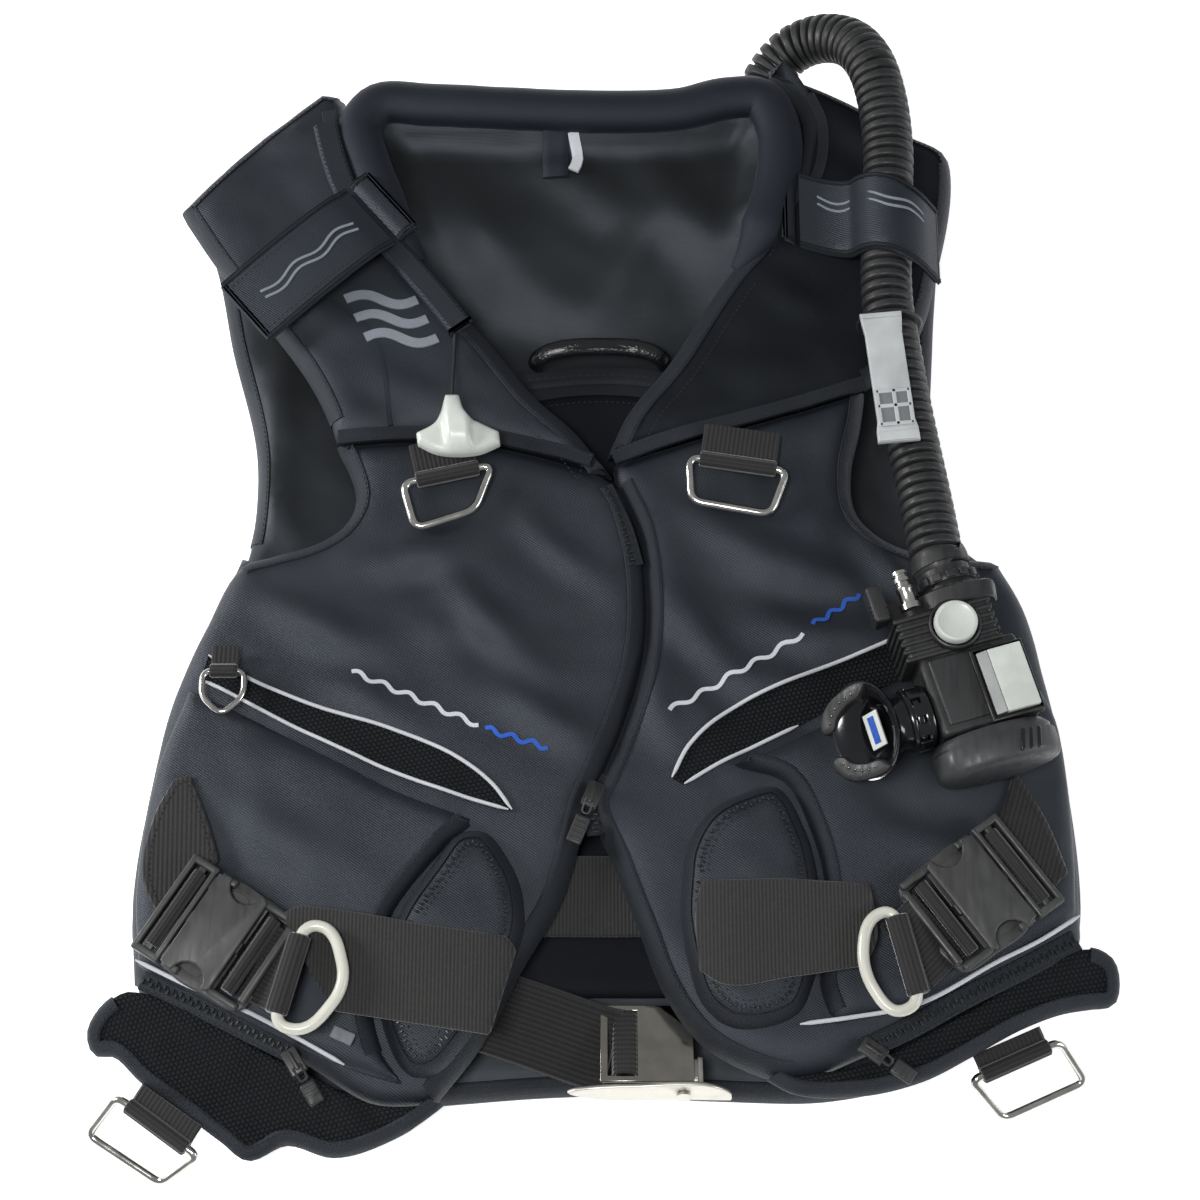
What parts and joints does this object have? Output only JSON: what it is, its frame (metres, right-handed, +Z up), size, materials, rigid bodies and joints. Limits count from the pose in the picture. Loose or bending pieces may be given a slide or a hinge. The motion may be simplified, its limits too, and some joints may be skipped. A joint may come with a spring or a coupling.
{
  "type": "buoyancy compensator vest",
  "caption": "Jacket-style diving buoyancy vest laid on its back, with inflator hose, weight pouches, pull rings, buckles and a tank band.",
  "frame": {"origin": "on the surface that the vest lies on, under the middle of the vest without its hose", "axes": "+Z up out of the vest's front, +Y from the hem to the collar, +X to the right of someone who looks at the front with the collar at the top"},
  "size_m": [0.584, 0.7335, 0.115],
  "materials": {
    "nylon": "black woven nylon, matt",
    "liner": "olive-charcoal coated lining",
    "neoprene": "smooth blue-black neoprene",
    "webbing": "ribbed charcoal webbing",
    "mesh": "black open mesh",
    "black_plastic": "moulded, fine grain",
    "rubber": "moulded black rubber",
    "pale_plastic": "light grey-green, smooth",
    "grey_plastic": "mid grey, smooth",
    "ivory_coat": "ivory coated wire",
    "steel": "polished stainless",
    "satin_steel": "satin stainless"
  },
  "bodies": {
    "vest": {"back_bladder": "liner", "backpack_plate": "black_plastic", "dump_valve": "black_plastic", "back_pad": "neoprene", "carry_handle": "rubber", "cummerbund": "webbing", "collar_roll": "neoprene", "shoulder_yoke_l": "nylon", "shoulder_yoke_r": "nylon", "front_lobe_l": "nylon", "front_lobe_r": "nylon", "side_panel_l": "nylon", "side_panel_r": "nylon", "pocket_l": "nylon", "pocket_r": "nylon", "weight_pouch_l": "nylon", "weight_pouch_r": "nylon", "mesh_skirt_l": "mesh", "mesh_skirt_r": "mesh", "pouch_strap_l": "webbing", "pouch_strap_r": "webbing", "buckle_socket_l": "black_plastic", "buckle_socket_r": "black_plastic", "chest_tab_l": "webbing", "chest_tab_r": "webbing", "hem_tab_l": "webbing", "hem_tab_r": "webbing", "pocket_tab": "webbing", "dump_sleeve": "nylon", "whistle": "grey_plastic", "whistle_tie": "rubber", "hose_elbow": "rubber", "inflator_hose": "rubber", "inflator_body": "rubber", "inflator_nipple": "steel", "nipple_cap": "rubber", "diaphragm_cover": "rubber", "mouthpiece": "rubber", "tank_band": "webbing", "cam_buckle_plate": "steel", "cam_pin": "satin_steel"},
    "chest_ring_l": {"chest_ring_l": "steel"},
    "chest_ring_r": {"chest_ring_r": "steel"},
    "hem_ring_l": {"hem_ring_l": "steel"},
    "hem_ring_r": {"hem_ring_r": "steel"},
    "pocket_ring": {"pocket_ring": "steel"},
    "handle_ring_l": {"handle_ring_l": "ivory_coat"},
    "handle_ring_r": {"handle_ring_r": "ivory_coat"},
    "buckle_plug_l": {"buckle_plug_l": "black_plastic"},
    "buckle_plug_r": {"buckle_plug_r": "black_plastic"},
    "shoulder_flap_l": {"shoulder_flap_l": "nylon"},
    "shoulder_flap_r": {"shoulder_flap_r": "nylon"},
    "dump_pull": {"dump_cord": "rubber", "dump_knob": "pale_plastic"},
    "cam_lever": {"cam_lever": "satin_steel"},
    "inflate_button": {"inflate_button": "pale_plastic"},
    "deflate_button": {"deflate_button": "pale_plastic"},
    "main_zip_slider": {"main_zip_slider": "black_plastic"},
    "pocket_zip_slider_l": {"pocket_zip_slider_l": "black_plastic"},
    "pocket_zip_slider_r": {"pocket_zip_slider_r": "black_plastic"}
  },
  "joints": [
    {"name": "chest_ring_l_swing", "type": "hinge", "parent": "vest", "child": "chest_ring_l", "pos_m": [-0.117, 0.0551, 0.0642], "axis": [-0.9753, -0.2208, 0], "range_deg": [0, 50]},
    {"name": "chest_ring_r_swing", "type": "hinge", "parent": "vest", "child": "chest_ring_r", "pos_m": [0.053, 0.0721, 0.0642], "axis": [-0.9882, 0.1533, 0], "range_deg": [0, 150]},
    {"name": "hem_ring_l_swing", "type": "hinge", "parent": "vest", "child": "hem_ring_l", "pos_m": [-0.27, -0.2999, 0.025], "axis": [-0.8184, 0.5746, 0], "range_deg": [-20, 140]},
    {"name": "hem_ring_r_swing", "type": "hinge", "parent": "vest", "child": "hem_ring_r", "pos_m": [0.208, -0.2909, 0.025], "axis": [-0.9182, -0.3961, 0], "range_deg": [-20, 140]},
    {"name": "pocket_ring_swing", "type": "hinge", "parent": "vest", "child": "pocket_ring", "pos_m": [-0.229, -0.0619, 0.0642], "axis": [-1, 0, 0], "range_deg": [0, 130]},
    {"name": "handle_ring_l_swing", "type": "hinge", "parent": "vest", "child": "handle_ring_l", "pos_m": [-0.163, -0.2139, 0.081], "axis": [-0.2587, -0.9659, 0], "range_deg": [0, 150]},
    {"name": "handle_ring_r_swing", "type": "hinge", "parent": "vest", "child": "handle_ring_r", "pos_m": [0.162, -0.2049, 0.081], "axis": [-0.2382, 0.9712, 0], "range_deg": [0, 150]},
    {"name": "buckle_l_release", "type": "slide", "parent": "vest", "child": "buckle_plug_l", "axis": [-0.848, 0.5299, 0], "range_m": [0, 0.034]},
    {"name": "buckle_r_release", "type": "slide", "parent": "vest", "child": "buckle_plug_r", "axis": [0.809, 0.5878, 0], "range_m": [0, 0.034]},
    {"name": "shoulder_flap_l_lift", "type": "hinge", "parent": "vest", "child": "shoulder_flap_l", "pos_m": [-0.142, 0.2311, 0.068], "axis": [-0.6508, 0.7593, 0], "range_deg": [0, 110]},
    {"name": "shoulder_flap_r_lift", "type": "hinge", "parent": "vest", "child": "shoulder_flap_r", "pos_m": [0.122, 0.2361, 0.0605], "axis": [0, -1, 0], "range_deg": [0, 100]},
    {"name": "dump_pull_slide", "type": "slide", "parent": "vest", "child": "dump_pull", "axis": [0, -1, 0], "range_m": [0, 0.008], "stiffness_N_per_m": 300},
    {"name": "cam_lever_swing", "type": "hinge", "parent": "vest", "child": "cam_lever", "pos_m": [0.046, -0.27513, 0.03762], "axis": [0, 0.9397, -0.342], "range_deg": [0, 100]},
    {"name": "inflate_press", "type": "slide", "parent": "vest", "child": "inflate_button", "axis": [0, 0, -1], "range_m": [0, 0.003], "stiffness_N_per_m": 900},
    {"name": "deflate_press", "type": "slide", "parent": "vest", "child": "deflate_button", "axis": [0, 0, -1], "range_m": [0, 0.0025], "stiffness_N_per_m": 900},
    {"name": "main_zip_run", "type": "hinge", "parent": "vest", "child": "main_zip_slider", "pos_m": [-0.188, -0.0249, 0.0612], "axis": [0, 0, 1], "range_deg": [0, 50]},
    {"name": "pocket_zip_l_run", "type": "slide", "parent": "vest", "child": "pocket_zip_slider_l", "axis": [-0.9057, 0.4239, 0], "range_m": [0, 0.09]},
    {"name": "pocket_zip_r_run", "type": "slide", "parent": "vest", "child": "pocket_zip_slider_r", "axis": [0.8944, 0.4472, 0], "range_m": [0, 0.1]}
  ]
}
